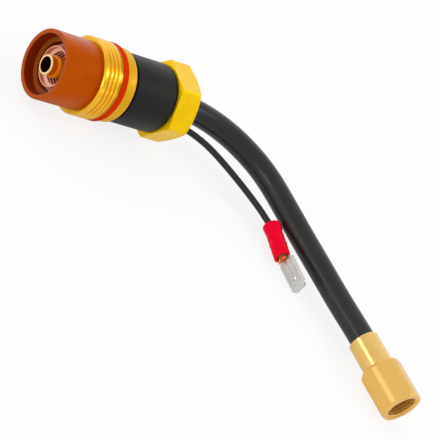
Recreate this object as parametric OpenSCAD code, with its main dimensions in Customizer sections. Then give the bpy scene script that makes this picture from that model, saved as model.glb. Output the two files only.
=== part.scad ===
// Torch head with an insulated nose, a gland nut, a gas and power hose and a pilot lead
// +X runs rearward along the head, +Z is up. The origin is at the rear end of the cup thread.

/* [Cup thread] */
// Crest diameter of the thread that the cup screws on to
thread_d = 23.9; // [22.6:0.1:27]
// Length of the thread
thread_len = 6.8; // [5:0.1:12]
// Bore of the threaded ring
ring_bore_d = 17.2; // [16.8:0.1:18]
// Diameter of the collar behind the sealing ring
collar_d = 22.6; // [21.2:0.1:24]
// Length of that collar
collar_len = 3.3; // [2:0.1:8]
// Thickness of the sealing ring's section, across the axis
cup_seal_t = 1.8; // [1:0.1:2.2]
// Width of that section along the axis
cup_seal_w = 2.6; // [2.2:0.1:3.6]

/* [Front insulator] */
// Reach of the insulator in front of the thread
nose_reach = 13.4; // [11:0.1:20]
// Wall of the insulator at its rim
rim_wall = 1.4; // [1:0.05:2]
// Depth of the counterbore in the rim
rim_depth = 3.6; // [1.5:0.1:5]
// Width of the ledge at the bottom of that counterbore
ledge_w = 1.3; // [0.6:0.05:1.8]
// Gap between the seat's shoulder and the nose's bore
nose_gap = 0.25; // [0.1:0.05:0.6]
// Distance from the rim to the floor of the nose
nose_depth = 11.7; // [9:0.1:13]

/* [Electrode seat] */
// Diameter of the seat's rim and of its rear end
seat_d = 12.5; // [12:0.1:13]
// Height of the seat's shoulder
seat_shoulder_h = 1.15; // [0.6:0.05:1.4]
// Distance of the seat's rim behind the insulator's rim
seat_inset = 3.2; // [2:0.1:5]
// Wall of the seat round its smooth entry
seat_wall = 0.45; // [0.3:0.05:0.8]
// Step from that entry down to the crests of the electrode thread
seat_thread_h = 0.35; // [0.2:0.05:0.9]
// Length of the smooth entry
seat_entry_len = 1.4; // [0.6:0.1:2]
// Length of the seat's rim in front of the shoulder
seat_rim_len = 2.4; // [2.2:0.1:3.4]

/* [Gas tube] */
// Bore of the gas tube
gas_bore_d = 4.3; // [3:0.1:4.5]
// Diameter of the tube's nose
gas_nose_d = 6.5; // [5.4:0.1:7]
// Diameter of the waist behind the nose
gas_waist_d = 5.7; // [5:0.1:6]
// Diameter of the collar behind the waist
gas_collar_d = 6.7; // [6:0.1:8]
// Diameter of the tube's body
gas_body_d = 5.8; // [5.6:0.1:6.6]
// Distance of the nose's face behind the insulator's rim
gas_inset = 0.7; // [0:0.1:3]

/* [Sleeve and nut] */
// Outer diameter of the body sleeve
sleeve_d = 21.3; // [20.6:0.1:22]
// Length of the body sleeve
sleeve_len = 15; // [14:0.1:30]
// Wall of the body sleeve
sleeve_wall = 1.15; // [0.8:0.05:1.2]
// Thickness of the gasket in front of the sleeve
front_gasket_t = 1.3; // [0.3:0.1:2]
// Thickness of the gasket behind the sleeve
rear_gasket_t = 0.8; // [0.2:0.1:1.2]
// Width of the gland nut across its flats
nut_af = 22; // [21.6:0.1:27]
// Length of the gland nut's hexagon
nut_len = 8.1; // [6:0.1:14]
// Height of the rear chamfer at the nut's corners
nut_chamfer = 0.8; // [0.4:0.1:1.2]
// Wall of the nut and of the ring inside the sleeve
spigot_wall = 0.8; // [0.7:0.05:0.9]

/* [Hose and lead] */
// Outer diameter of the hose
hose_d = 7.8; // [7.2:0.1:8.2]
// Bore of the hose
hose_bore_d = 4.9; // [4.8:0.1:5.4]
// Diameter of the conductor in the hose
core_d = 2.4; // [1.6:0.1:2.6]
// Outer diameter of the pilot lead
lead_d = 2; // [1.4:0.1:2.1]

/* [End fitting] */
// Width of the end fitting across its flats
fitting_af = 12; // [11.4:0.1:14]
// Diameter to which the corners of its hexagon are turned
fitting_corner_d = 13; // [12.6:0.1:14]
// Length of the hexagon
fitting_hex_len = 13.7; // [10:0.1:20]
// Diameter of the neck round the hose
neck_d = 9.5; // [9.2:0.1:10.4]
// Length of the neck behind the hexagon
neck_len = 10.2; // [6:0.1:16]
// Minor diameter of the gas thread in the fitting
gas_thread_d = 8.92; // [7:0.02:9.4]
// Length of that thread
gas_thread_len = 8.4; // [6:0.1:10]

/* [Terminal] */
// Width of the blade
blade_w = 6.3; // [4.8:0.1:7.9]
// Length of the blade
blade_len = 10.2; // [7:0.1:14]
// Thickness of the blade
blade_t = 0.8; // [0.5:0.1:1]
// Diameter of the latch hole in the blade
latch_d = 1.65; // [1.2:0.05:2.2]
// Distance of the latch hole from the tip
latch_inset = 4.1; // [3:0.1:5]
// Length of the terminal's insulation
insulation_len = 11.8; // [9:0.1:16]
// Diameter of that insulation
insulation_d = 5.2; // [4.8:0.1:6]
// Outer diameter of the crimp barrel
barrel_d = 3.5; // [3.2:0.1:3.8]

/* [Hidden] */
$fn = 64;

// Clearances on the radius, and between faces that stop short of each other
fit_gap = 0.1;
seal_gap = 0.05;
seal_proud = 0.15;
cable_gap = 0.1;
overlap = 0.01;

// Stations along the head, from the insulator's rim to the back of the nut
x_thread = -thread_len;
x_rim = x_thread - nose_reach;
x_gas_face = x_rim + gas_inset;
x_seat_rim = x_rim + seat_inset;
x_nose_floor = x_rim + nose_depth;
x_groove_end = cup_seal_w + 2 * seal_gap;
x_collar_end = x_groove_end + collar_len;
x_sleeve = x_collar_end + front_gasket_t;
x_sleeve_end = x_sleeve + sleeve_len;
x_nut = x_sleeve_end + rear_gasket_t;
x_nut_end = x_nut + nut_len;

// Bores of the nose and the seat, each from the one inside it
seat_shoulder_d = seat_d + 2 * seat_shoulder_h;
nose_bore_d = seat_shoulder_d + 2 * nose_gap;
ledge_d = nose_bore_d + 2 * ledge_w;
rim_draft = 0.25;
rim_bore_d = ledge_d + 2 * rim_draft;
rim_d = rim_bore_d + 2 * rim_wall;
root_draft = 0.1;
root_d = rim_d - 2 * root_draft;
seat_entry_d = seat_d - 2 * seat_wall;
electrode_thread_d = seat_entry_d - 2 * seat_thread_h;

// Seat and stem inside the head
web_t = 2.5;
socket_depth = 4;
socket_wall = 1.7;
shaft_step = 0.2;
barb_gap = 0.15;
gas_gap = 0.4;
insulator_step = 0.4;
hose_inset = 9.4;
core_inset = 3;
seat_shoulder_end = x_nose_floor - fit_gap;
x_seat_web = x_nose_floor;
x_socket = x_seat_web + web_t;
x_seat_end = x_socket + socket_depth;
flange_len = 4;
x_flange_end = x_seat_end + flange_len;
socket_d = seat_d - 2 * socket_wall;
tube_tail_d = 5.2;
tube_tail_len = 5;
stem_flange_d = seat_d - fit_gap;
stem_shaft_d = hose_d + 2 * shaft_step;
barb_d = hose_bore_d - 2 * barb_gap;
gas_way_d = core_d + 2 * gas_gap;
inner_bore_d = seat_d + 2 * fit_gap;
core_flange_t = 1.5;
core_tail_wall = 0.6;
x_insulator_end = x_collar_end - insulator_step;
x_core_flange_end = x_insulator_end + core_flange_t;
x_hose = x_sleeve + hose_inset;
barb_len = 8.4;
barb_count = 3;

// Top of the sealing ring, just proud of the thread's crests
seal_top_d = thread_d + 2 * seal_proud;

// Rear parts inside the sleeve
sleeve_bore_d = sleeve_d - 2 * sleeve_wall;
spigot_d = sleeve_bore_d - 2 * fit_gap;
ring_tail_len = 4.4;
x_ring_end = x_sleeve + ring_tail_len;
nut_bore_d = spigot_d - 2 * spigot_wall;
nut_spigot_len = 5;
lip_t = 1;
lip_h = 0.7;
lip_bore_d = nut_bore_d - 2 * lip_h;
gasket_drop = 0.45;
gasket_d = sleeve_d - 2 * gasket_drop;
hose_hole_d = hose_d + 2 * cable_gap;
lead_hole_d = lead_d + 2 * cable_gap;
ferrule_wall = 0.5;
ferrule_step = 0.5;
bush_step = 1;
x_bush = x_nut + bush_step;

// The pilot lead's lug on the rear face of the ring
lug_t = 0.6;
lug_cup_d = 3;
lug_cup_len = 3.4;
lug_y = -5.2;
lug_z = -4;
solder_t = 0.5;
// Where the lead leaves the nut
lead_y = -4.5;
lead_z = -3.4;

// Seat of the end fitting: rear end of its neck, and its turn about +Z
fitting_at = [82, -75, -5.75];
fitting_turn = -78.8;
// Turn of its hexagon about its own axis
fitting_roll = -21;
fitting_dir = [cos(fitting_turn), sin(fitting_turn), 0];
fitting_web_t = 3;
fitting_chamfer = 0.8;
fitting_len = neck_len + fitting_hex_len + fitting_chamfer;
thread_entry_h = 0.5;
thread_entry_len = 0.6;
thread_entry_d = gas_thread_d + 2 * thread_entry_h;
x_thread_entry = fitting_len - thread_entry_len;
neck_bore_len = x_thread_entry - gas_thread_len - fitting_web_t;
spigot_in_hose = 10;

// The terminal's place: rear end of its insulation, its tilt, roll and turn
terminal_at = [63.7, -33.4, -7.5];
terminal_turn = [8, 4, -90];
blade_bend = 10;
blade_side = 0.9;
insulation_flare = 0.3;
barrel_bore_d = 1.9;
barrel_start = 4.4;
strand_d = 0.56;
strand_count = 6;

// Centre line of the hose, from the stem's shoulder to its end in the fitting
hose_route = [
    [x_hose, 0, 0], [23, 0, 0], [x_nut_end, 0, 0], [35, -0.1, 0], [39.6, -0.8, -0.1],
    [44.3, -2.1, -0.3], [49.3, -4.3, -0.6], [54.1, -7.3, -1], [58.5, -11.1, -1.5],
    [62.2, -15.6, -2], [65.1, -20.6, -2.6], [67.3, -26, -3.2], [69.7, -32.8, -3.9],
    [72.1, -40.1, -4.5], [74.5, -47.7, -5], [76.7, -55.2, -5.4], [78.8, -62.4, -5.7],
    [80.6, -69, -5.75], fitting_at, fitting_at + neck_bore_len * fitting_dir
];
core_start = [x_hose + barb_len - core_inset, 0, 0];
core_route = concat([core_start], [for (i = [2 : len(hose_route) - 2]) hose_route[i]],
    [fitting_at + (neck_bore_len - core_inset) * fitting_dir]);

// Centre line of the pilot lead, from its lug to the crimp barrel
lead_route = [
    [x_ring_end + lug_t + solder_t, lug_y, lug_z], [15, lug_y, lug_z], [22, lead_y, lead_z],
    [x_nut_end, lead_y, lead_z], [34.5, -5, -3.6], [38.5, -6.4, -3.8], [42.6, -8.3, -4.2],
    [46, -10.7, -4.6], [49, -13.6, -5], [51.7, -16.6, -5.4], [54.2, -19.6, -5.8],
    [56.6, -22.7, -6.2], [58.9, -26, -6.6], [61, -29.5, -7], [62.5, -32.8, -7.3],
    [63.5, -35.3, -7.6], [63.7, -37.6, -7.8]
];

// A solid of revolution about the X axis from points of [radius, station]
module lathe(profile) {
    rotate([0, 90, 0]) rotate_extrude() polygon(profile);
}

// A ring or a bush about the X axis
module ring(x1, x2, d_out, d_in) {
    lathe([[d_in / 2, x1], [d_out / 2, x1], [d_out / 2, x2], [d_in / 2, x2]]);
}

module rod(x1, x2, d) {
    translate([x1, 0, 0]) rotate([0, 90, 0]) cylinder(h = x2 - x1, d = d);
}

// A hexagonal bar about the X axis with a flat facing straight down
module hex_bar(x1, x2, af) {
    translate([x1, 0, 0]) rotate([0, 90, 0]) rotate(30)
        cylinder(h = x2 - x1, d = af / cos(30), $fn = 6);
}

function unit(v) = v / norm(v);

// Direction of a route at one of its points
function heading(route, i) = unit(route[min(i + 1, len(route) - 1)] - route[max(i - 1, 0)]);

// Points of one ring of a swept tube, square to the heading
function tube_ring(at, dir, r, sides) =
    let (side = unit(cross([0, 0, 1], dir)), up = cross(dir, side))
    [for (k = [0 : sides - 1]) at + r * (cos(360 * k / sides) * side + sin(360 * k / sides) * up)];

// Side faces between the rings of one skin, turned outward or inward
function skin_faces(rings, sides, first, outward) =
    [for (i = [0 : rings - 2], k = [0 : sides - 1], half = [0, 1])
        let (a = first + i * sides + k, b = first + i * sides + (k + 1) % sides,
            c = b + sides, d = a + sides,
            face = half == 0 ? [a, c, b] : [a, d, c])
        outward ? face : [face[2], face[1], face[0]]];

// Faces of one flat end: a ring between two skins, or a disc
function end_ring(outer, inner, sides, front) =
    [for (k = [0 : sides - 1], half = [0, 1])
        let (n = (k + 1) % sides,
            face = half == 0 ? [outer + k, outer + n, inner + n] : [outer + k, inner + n, inner + k])
        front ? face : [face[2], face[1], face[0]]];

function end_disc(first, sides, front) =
    [for (k = [1 : sides - 2])
        front ? [first, first + k, first + k + 1] : [first, first + k + 1, first + k]];

function skin_points(route, r, sides) =
    [for (i = [0 : len(route) - 1]) each tube_ring(route[i], heading(route, i), r, sides)];

// A round cord swept along its route
module cord(route, d, sides) {
    rings = len(route);
    polyhedron(skin_points(route, d / 2, sides),
        concat(skin_faces(rings, sides, 0, true), end_disc(0, sides, true),
            end_disc((rings - 1) * sides, sides, false)));
}

// A hose with its bore, swept along its route
module hollow_cord(route, d, bore, sides) {
    rings = len(route);
    inner = rings * sides;
    last = (rings - 1) * sides;
    polyhedron(concat(skin_points(route, d / 2, sides), skin_points(route, bore / 2, sides)),
        concat(skin_faces(rings, sides, 0, true), skin_faces(rings, sides, inner, false),
            end_ring(0, inner, sides, true), end_ring(last, inner + last, sides, false)));
}

// Moulded nose with a stepped bore and a spigot that fills the threaded ring
module front_insulator() {
    edge = 0.35;
    color("chocolate") lathe([
        [inner_bore_d / 2, x_nose_floor], [nose_bore_d / 2, x_nose_floor],
        [nose_bore_d / 2, x_rim + rim_depth], [ledge_d / 2, x_rim + rim_depth],
        [rim_bore_d / 2, x_rim + edge], [rim_bore_d / 2 + edge, x_rim],
        [rim_d / 2 - edge, x_rim], [rim_d / 2, x_rim + edge],
        [root_d / 2, x_thread], [ring_bore_d / 2 - fit_gap, x_thread],
        [ring_bore_d / 2 - fit_gap, x_insulator_end], [inner_bore_d / 2, x_insulator_end]
    ]);
}

// Threaded seat that takes the electrode, with a socket for the stem behind its web
module electrode_seat() {
    shoulder_x = x_seat_rim + seat_rim_len;
    thread_x = x_seat_rim + seat_entry_len;
    lead_in = 1.5;
    color("peru") lathe([
        [gas_body_d / 2 + seal_gap, x_seat_web], [electrode_thread_d / 2, x_seat_web],
        [electrode_thread_d / 2, thread_x + lead_in], [seat_entry_d / 2, thread_x],
        [seat_entry_d / 2, x_seat_rim], [seat_d / 2, x_seat_rim], [seat_d / 2, shoulder_x],
        [seat_shoulder_d / 2, shoulder_x], [seat_shoulder_d / 2, seat_shoulder_end],
        [seat_d / 2, seat_shoulder_end], [seat_d / 2, x_seat_end], [socket_d / 2, x_seat_end],
        [socket_d / 2, x_socket], [gas_body_d / 2 + seal_gap, x_socket]
    ]);
}

// Tube that blows the gas into the electrode, with a waist and a collar behind its nose
module gas_tube() {
    nose_len = 0.6;
    waist_len = 1.9;
    collar = 1.2;
    edge = 0.3;
    waist_slope = 0.2;
    x_waist = x_gas_face + nose_len;
    x_collar = x_waist + waist_len;
    color("orange") lathe([
        [gas_bore_d / 2, x_gas_face], [gas_nose_d / 2 - edge, x_gas_face],
        [gas_nose_d / 2, x_gas_face + edge], [gas_nose_d / 2, x_waist - waist_slope],
        [gas_waist_d / 2, x_waist], [gas_waist_d / 2, x_collar], [gas_collar_d / 2, x_collar],
        [gas_collar_d / 2, x_collar + collar], [gas_body_d / 2, x_collar + collar],
        [gas_body_d / 2, x_socket], [tube_tail_d / 2, x_socket],
        [tube_tail_d / 2, x_socket + tube_tail_len], [gas_bore_d / 2, x_socket + tube_tail_len]
    ]);
}

// Current-carrying stem: front spigot, flange, shaft and the barb in the hose
module body_stem() {
    bottom = x_socket + tube_tail_len + fit_gap;
    tail_bore = tube_tail_d + 2 * seal_gap;
    barb_pitch = barb_len / barb_count;
    barb_drop = 0.25;
    color("goldenrod") lathe(concat(
        [[tail_bore / 2, x_socket], [socket_d / 2 - fit_gap, x_socket],
            [socket_d / 2 - fit_gap, x_seat_end], [stem_flange_d / 2, x_seat_end],
            [stem_flange_d / 2, x_flange_end], [stem_shaft_d / 2, x_flange_end],
            [stem_shaft_d / 2, x_hose]],
        [for (i = [0 : barb_count - 1], k = [0, 1])
            [barb_d / 2 - k * barb_drop, x_hose + (i + k) * barb_pitch]],
        [[gas_way_d / 2, x_hose + barb_len], [gas_way_d / 2, bottom], [tail_bore / 2, bottom]]
    ));
}

// Insulating bush between the stem and the threaded ring
module core_insulator() {
    bore = stem_shaft_d / 2 + fit_gap;
    color("ivory") lathe([
        [bore, x_flange_end], [inner_bore_d / 2 - fit_gap, x_flange_end],
        [inner_bore_d / 2 - fit_gap, x_insulator_end],
        [ring_bore_d / 2 - fit_gap, x_insulator_end],
        [ring_bore_d / 2 - fit_gap, x_core_flange_end],
        [bore + core_tail_wall, x_core_flange_end], [bore + core_tail_wall, x_hose], [bore, x_hose]
    ]);
}

// Ring with the cup thread, the groove of the sealing ring and a tail in the sleeve
module thread_ring() {
    thread_chamfer = 0.45;
    groove_d = seal_top_d - 2 * cup_seal_t - 2 * seal_gap;
    edge = 0.25;
    color("gold") lathe([
        [ring_bore_d / 2, x_thread], [thread_d / 2 - thread_chamfer, x_thread],
        [thread_d / 2, x_thread + thread_chamfer], [thread_d / 2, 0], [groove_d / 2, 0],
        [groove_d / 2, x_groove_end], [collar_d / 2 - edge, x_groove_end],
        [collar_d / 2, x_groove_end + edge], [collar_d / 2, x_collar_end - edge],
        [collar_d / 2 - edge, x_collar_end], [spigot_d / 2, x_collar_end],
        [spigot_d / 2, x_ring_end], [ring_bore_d / 2, x_ring_end]
    ]);
}

// Sealing ring in the groove behind the cup thread, oblong in section with round flanks
module cup_seal() {
    r = seal_top_d / 2 - cup_seal_t / 2;
    flank = (cup_seal_w - cup_seal_t) / 2;
    color("orangered") translate([x_groove_end / 2, 0, 0]) rotate([0, 90, 0])
        rotate_extrude() translate([r, 0]) {
            square([cup_seal_t, 2 * flank], center = true);
            for (y = [-flank, flank]) translate([0, y]) circle(d = cup_seal_t, $fn = 24);
        }
}

// Washer behind the ring, with the cup that the pilot lead is soldered in
module pilot_lug() {
    washer_bore = stem_shaft_d + 2 * (fit_gap + core_tail_wall + fit_gap);
    color("silver") difference() {
        union() {
            ring(x_ring_end, x_ring_end + lug_t, spigot_d, washer_bore);
            translate([0, lug_y, lug_z]) rod(x_ring_end + overlap, x_ring_end + lug_t + lug_cup_len, lug_cup_d);
        }
        translate([0, lug_y, lug_z]) rod(x_ring_end + lug_t, x_ring_end + lug_t + lug_cup_len + 1, lead_hole_d);
        rod(x_ring_end - 1, x_hose, washer_bore);
    }
}

// Flat gaskets at the two ends of the sleeve
module front_gasket() {
    color("black") ring(x_collar_end, x_sleeve, gasket_d, spigot_d + 2 * fit_gap);
}

module rear_gasket() {
    color("black") ring(x_sleeve_end, x_nut, gasket_d, spigot_d + 2 * fit_gap);
}

// Moulded sleeve between the threaded ring and the nut
module body_sleeve() {
    edge = 0.2;
    color("dimgray") lathe([
        [sleeve_bore_d / 2, x_sleeve], [sleeve_d / 2 - edge, x_sleeve],
        [sleeve_d / 2, x_sleeve + edge], [sleeve_d / 2, x_sleeve_end - edge],
        [sleeve_d / 2 - edge, x_sleeve_end], [sleeve_bore_d / 2, x_sleeve_end]
    ]);
}

// Gland nut: a chamfered hexagon, a spigot in the sleeve and a lip behind the bush
module gland_nut() {
    corner_trim = 0.2;
    corner = nut_af / cos(30) / 2 - corner_trim;
    front_chamfer = 0.45;
    face_drop = 0.1;
    front_face = nut_af / 2 - face_drop;
    slope = nut_chamfer / tan(30);
    color("gold") difference() {
        union() {
            intersection() {
                hex_bar(x_nut, x_nut_end, nut_af);
                lathe([
                    [0, x_nut], [front_face, x_nut], [corner, x_nut + front_chamfer],
                    [corner, x_nut_end - nut_chamfer], [corner - slope, x_nut_end],
                    [0, x_nut_end]
                ]);
            }
            rod(x_nut - nut_spigot_len, x_nut + 1, spigot_d);
        }
        rod(x_nut - nut_spigot_len - 1, x_nut_end - lip_t, nut_bore_d);
        rod(x_nut_end - lip_t - 1, x_nut_end + 1, lip_bore_d);
    }
}

// Rubber bush that grips the hose and the lead in the nut
module cable_bush() {
    nose_len = lip_t - 0.2;
    x_lip = x_nut_end - lip_t;
    color("darkslategray") difference() {
        union() {
            rod(x_bush, x_lip, nut_bore_d - 2 * seal_gap);
            rod(x_lip - overlap, x_lip + nose_len, lip_bore_d - 2 * seal_gap);
        }
        rod(x_bush - 1, x_nut_end, hose_hole_d);
        translate([0, lead_y, lead_z]) rod(x_bush - 1, x_nut_end, lead_hole_d);
    }
}

// Crimped ferrule that holds the hose on the stem's barb
module hose_ferrule() {
    color("silver") ring(x_hose + ferrule_step, x_bush - ferrule_step,
        hose_hole_d + 2 * ferrule_wall, hose_hole_d);
}

// Free hose with its bore
module hose() {
    color("black") hollow_cord(hose_route, hose_d, hose_bore_d, 12);
}

// Stranded conductor in the hose, with the gas flowing round it
module hose_core() {
    color("sienna") cord(core_route, core_d, 8);
}

// Places a child that is drawn along +X from the rear end of the fitting's neck
module at_fitting() {
    translate(fitting_at) rotate([0, 0, fitting_turn]) children();
}

// Tube through the fitting's web, pushed into the hose
module end_spigot() {
    x_web = neck_bore_len;
    color("goldenrod") at_fitting()
        ring(x_web - spigot_in_hose, x_web + fitting_web_t, barb_d, gas_way_d);
}

// Fitting crimped on the hose: neck, turned hexagon and the female gas thread
module end_fitting() {
    edge = 0.3;
    rear_chamfer = 1.1;
    corner = fitting_corner_d / 2;
    color("khaki") at_fitting() difference() {
        union() {
            lathe([[0, 0], [neck_d / 2 - edge, 0], [neck_d / 2, edge],
                [neck_d / 2, neck_len + overlap], [0, neck_len + overlap]]);
            intersection() {
                rotate([fitting_roll, 0, 0]) hex_bar(neck_len, fitting_len, fitting_af);
                lathe([[0, neck_len], [fitting_af / 2 - edge, neck_len],
                    [corner, neck_len + rear_chamfer], [corner, fitting_len - fitting_chamfer],
                    [corner - edge, fitting_len], [0, fitting_len]]);
            }
        }
        rod(-1, neck_bore_len, hose_hole_d);
        rod(0, fitting_len, barb_d + 2 * seal_gap);
        rod(neck_bore_len + fitting_web_t, fitting_len + 1, gas_thread_d);
        lathe([[0, x_thread_entry - overlap], [gas_thread_d / 2, x_thread_entry],
            [thread_entry_d / 2, fitting_len], [thread_entry_d / 2, fitting_len + 1],
            [0, fitting_len + 1]]);
    }
}

// Thin insulated lead from the lug to the terminal
module pilot_lead() {
    color("black") cord(lead_route, lead_d, 8);
}

// Places a child that is drawn along +X from the rear end of the terminal's insulation
module at_terminal() {
    translate(terminal_at) rotate([0, 0, terminal_turn[2]]) rotate([0, terminal_turn[1], 0])
        rotate([terminal_turn[0], 0, 0]) children();
}

// Strands of the lead in the crimp barrel; those that clear the blade stand out of its mouth
module lead_strands() {
    pitch = strand_d + 0.04;
    mouth = insulation_len + 0.1;
    color("coral") at_terminal() for (k = [0 : strand_count]) {
        y = k == 0 ? 0 : pitch * cos(60 * k + 30);
        z = k == 0 ? 0 : pitch * sin(60 * k + 30);
        free = y + strand_d / 2 < blade_side - blade_t / 2 ? 0.5 + 0.07 * k : -0.3;
        translate([0, y, z]) rotate([0, 90, 0]) translate([0, 0, barrel_start])
            cylinder(h = mouth + free - barrel_start, d = strand_d, $fn = 16);
    }
}

// One stamping: the rolled crimp barrel, the shoulders and the folded blade with its latch hole
module blade_terminal() {
    mouth = insulation_len + 0.1;
    shoulder = 1.6;
    tip = 1.1;
    // The neck starts inside the barrel's wall and widens past its mouth
    root_len = 0.8;
    root_trim = 0.95;
    neck_trim = 0.65;
    root_w = barrel_d / 2 - root_trim;
    neck_w = barrel_d / 2 - neck_trim;
    w = blade_w / 2;
    x_end = shoulder + blade_len;
    color("gainsboro") at_terminal() difference() {
        union() {
            ring(barrel_start, mouth, barrel_d, barrel_bore_d);
            translate([mouth, blade_side + blade_t / 2, 0]) rotate([90, 0, 0]) rotate([0, blade_bend, 0])
                linear_extrude(blade_t) difference() {
                    polygon([[-root_len, -root_w], [0, -neck_w], [shoulder, -w], [x_end - tip, -w],
                        [x_end, -w + tip], [x_end, w - tip], [x_end - tip, w], [shoulder, w],
                        [0, neck_w], [-root_len, root_w]]);
                    translate([x_end - latch_inset, 0]) circle(d = latch_d);
                }
        }
        rod(barrel_start - 1, mouth + 0.3, barrel_bore_d);
    }
}

// One oval section of the terminal's insulation
module insulation_section(x, height, width) {
    translate([x, 0, 0]) rotate([0, 90, 0]) scale([height, width, 1]) cylinder(h = 0.05, d = 1, $fn = 32);
}

// Plastic sleeve with a flared rear mouth and an oval crimped front
module terminal_insulation() {
    d = insulation_d;
    flare = d + 2 * insulation_flare;
    squeeze = 0.35;
    mouth_wall = 0.55;
    step = insulation_len / 5;
    // Station, height and width of each section
    sections = [
        [0, flare, flare], [0.6, flare, flare], [step, d, d],
        [2.4 * step, d + squeeze, d - squeeze], [3.6 * step, d, d],
        [insulation_len - 0.05, d + 2 * squeeze, d - 2 * squeeze]
    ];
    color("crimson") at_terminal() difference() {
        union() for (i = [0 : len(sections) - 2]) hull() {
            insulation_section(sections[i][0], sections[i][1], sections[i][2]);
            insulation_section(sections[i + 1][0], sections[i + 1][1], sections[i + 1][2]);
        }
        rod(-1, insulation_len + 1, barrel_d + 2 * seal_gap);
        rod(-1, barrel_start, d - 2 * mouth_wall);
    }
}

front_insulator();
electrode_seat();
gas_tube();
body_stem();
core_insulator();
thread_ring();
cup_seal();
pilot_lug();
front_gasket();
body_sleeve();
rear_gasket();
gland_nut();
cable_bush();
hose_ferrule();
hose();
hose_core();
end_spigot();
end_fitting();
pilot_lead();
lead_strands();
blade_terminal();
terminal_insulation();
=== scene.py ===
import math
import bmesh
import bpy
import numpy as np
from mathutils import Matrix, Vector


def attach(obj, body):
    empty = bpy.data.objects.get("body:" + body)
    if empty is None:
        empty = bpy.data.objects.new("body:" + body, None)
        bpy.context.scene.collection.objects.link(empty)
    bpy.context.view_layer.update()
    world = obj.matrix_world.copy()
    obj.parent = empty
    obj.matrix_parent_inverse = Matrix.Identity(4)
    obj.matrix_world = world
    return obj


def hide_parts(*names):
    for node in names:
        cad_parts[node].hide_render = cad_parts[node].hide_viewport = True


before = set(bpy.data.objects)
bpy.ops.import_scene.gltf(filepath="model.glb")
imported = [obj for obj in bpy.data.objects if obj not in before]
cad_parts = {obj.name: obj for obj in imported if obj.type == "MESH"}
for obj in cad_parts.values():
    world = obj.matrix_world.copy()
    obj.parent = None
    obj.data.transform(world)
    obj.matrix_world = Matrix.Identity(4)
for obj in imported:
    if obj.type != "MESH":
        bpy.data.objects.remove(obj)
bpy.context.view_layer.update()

from types import SimpleNamespace

mm = 0.001
arcPoints = 5  # points in each rounded corner of a turned outline


# a piece's dictionary with its values as f.name
def named(facts):
    return SimpleNamespace(**facts)


def addObject(name, data):
    thing = bpy.data.objects.new(name, data)
    bpy.context.scene.collection.objects.link(thing)
    return thing


def meshFrom(bm, name):
    mesh = bpy.data.meshes.new(name)
    bm.to_mesh(mesh)
    bm.free()
    return mesh


def smoothShade(mesh, sharpAngle):
    mesh.shade_smooth()
    mesh.set_sharp_from_angle(angle=math.radians(sharpAngle))


# points in millimetres and faces of indices become one clean, closed mesh with outward faces
def meshPiece(name, points, faces, sharpAngle=35):
    mesh = bpy.data.meshes.new(name)
    mesh.from_pydata((np.asarray(points) * mm).tolist(), [], [list(map(int, f)) for f in faces])
    bm = bmesh.new()
    bm.from_mesh(mesh)
    bmesh.ops.remove_doubles(bm, verts=bm.verts, dist=1e-7)
    bmesh.ops.dissolve_degenerate(bm, edges=bm.edges, dist=1e-8)
    bmesh.ops.recalc_face_normals(bm, faces=bm.faces)
    bm.to_mesh(mesh)
    bm.free()
    smoothShade(mesh, sharpAngle)
    return addObject(name, mesh)


# quads between neighbouring rows and columns of a grid of points
def gridFaces(rows, columns, wrapRows, wrapColumns):
    i = np.arange(rows if wrapRows else rows - 1)
    j = np.arange(columns if wrapColumns else columns - 1)
    i, j = np.meshgrid(i, j, indexing="ij")
    i2, j2 = (i + 1) % rows, (j + 1) % columns
    quads = np.stack([i * columns + j, i * columns + j2, i2 * columns + j2, i2 * columns + j], -1)
    return quads.reshape(-1, 4)


# faces of a row of rings whose first and last ring are closed by a cap
def cappedFaces(rings, sides, first=0):
    last = first + (rings - 1) * sides
    quads = (gridFaces(rings, sides, False, True) + first).tolist()
    return quads + [list(range(first, first + sides)), list(range(last, last + sides))]


def evenAngles(count):
    return np.linspace(0, 2 * np.pi, count, endpoint=False)


# a closed outline of (station, radius) with rounded corners: each is the curve
# (1 - t)^2 start + 2 t (1 - t) corner + t^2 end, whose start and end lie a rounding away from the corner,
# but never further than the given share of a side
def softProfile(corners, rounding=0.12, count=arcPoints, sideShare=0.45):
    corners = np.asarray(corners, float)
    back, ahead = np.roll(corners, 1, 0) - corners, np.roll(corners, -1, 0) - corners
    backLength, aheadLength = np.linalg.norm(back, axis=1), np.linalg.norm(ahead, axis=1)
    cut = np.minimum(rounding, sideShare * np.minimum(backLength, aheadLength))
    start = corners + back * (cut / backLength)[:, None]
    end = corners + ahead * (cut / aheadLength)[:, None]
    t = np.linspace(0, 1, count)[:, None, None]
    arcs = (1 - t) ** 2 * start + 2 * t * (1 - t) * corners + t ** 2 * end
    return arcs.transpose(1, 0, 2).reshape(-1, 2)


# points at (x, r sin a, r cos a): stations and radii may change from one angle to the next
def turnedGrid(station, radius, angles):
    shape = len(radius), len(angles)
    station = np.broadcast_to(station[:, None] if station.ndim == 1 else station, shape)
    radius = np.broadcast_to(radius[:, None] if radius.ndim == 1 else radius, shape)
    points = np.stack([station, radius * np.sin(angles), radius * np.cos(angles)], -1).reshape(-1, 3)
    return points, gridFaces(*shape, True, True)


# a closed outline turned about the X axis
def turnedPiece(name, corners, rounding=0.12, segments=160):
    outline = softProfile(corners, rounding)
    points, faces = turnedGrid(outline[:, 0], outline[:, 1], evenAngles(segments))
    return meshPiece(name, points, faces)


# rows of (station, radius), each a number or one value for each angle, as two grids
def rowGrids(rows, count):
    return [np.array([np.broadcast_to(row[k], count) for row in rows], float) for k in (0, 1)]


# depth from 0 at the crest to 1 at the root: the smooth step 3r^2 - 2r^3 of a triangle wave over the turns
def threadDepth(turns, crestShare=0.3, rootShare=0.12):
    wave = np.abs(2 * (turns % 1) - 1)
    ramp = np.clip((wave - crestShare) / (1 - crestShare - rootShare), 0, 1)
    return ramp * ramp * (3 - 2 * ramp)


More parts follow.
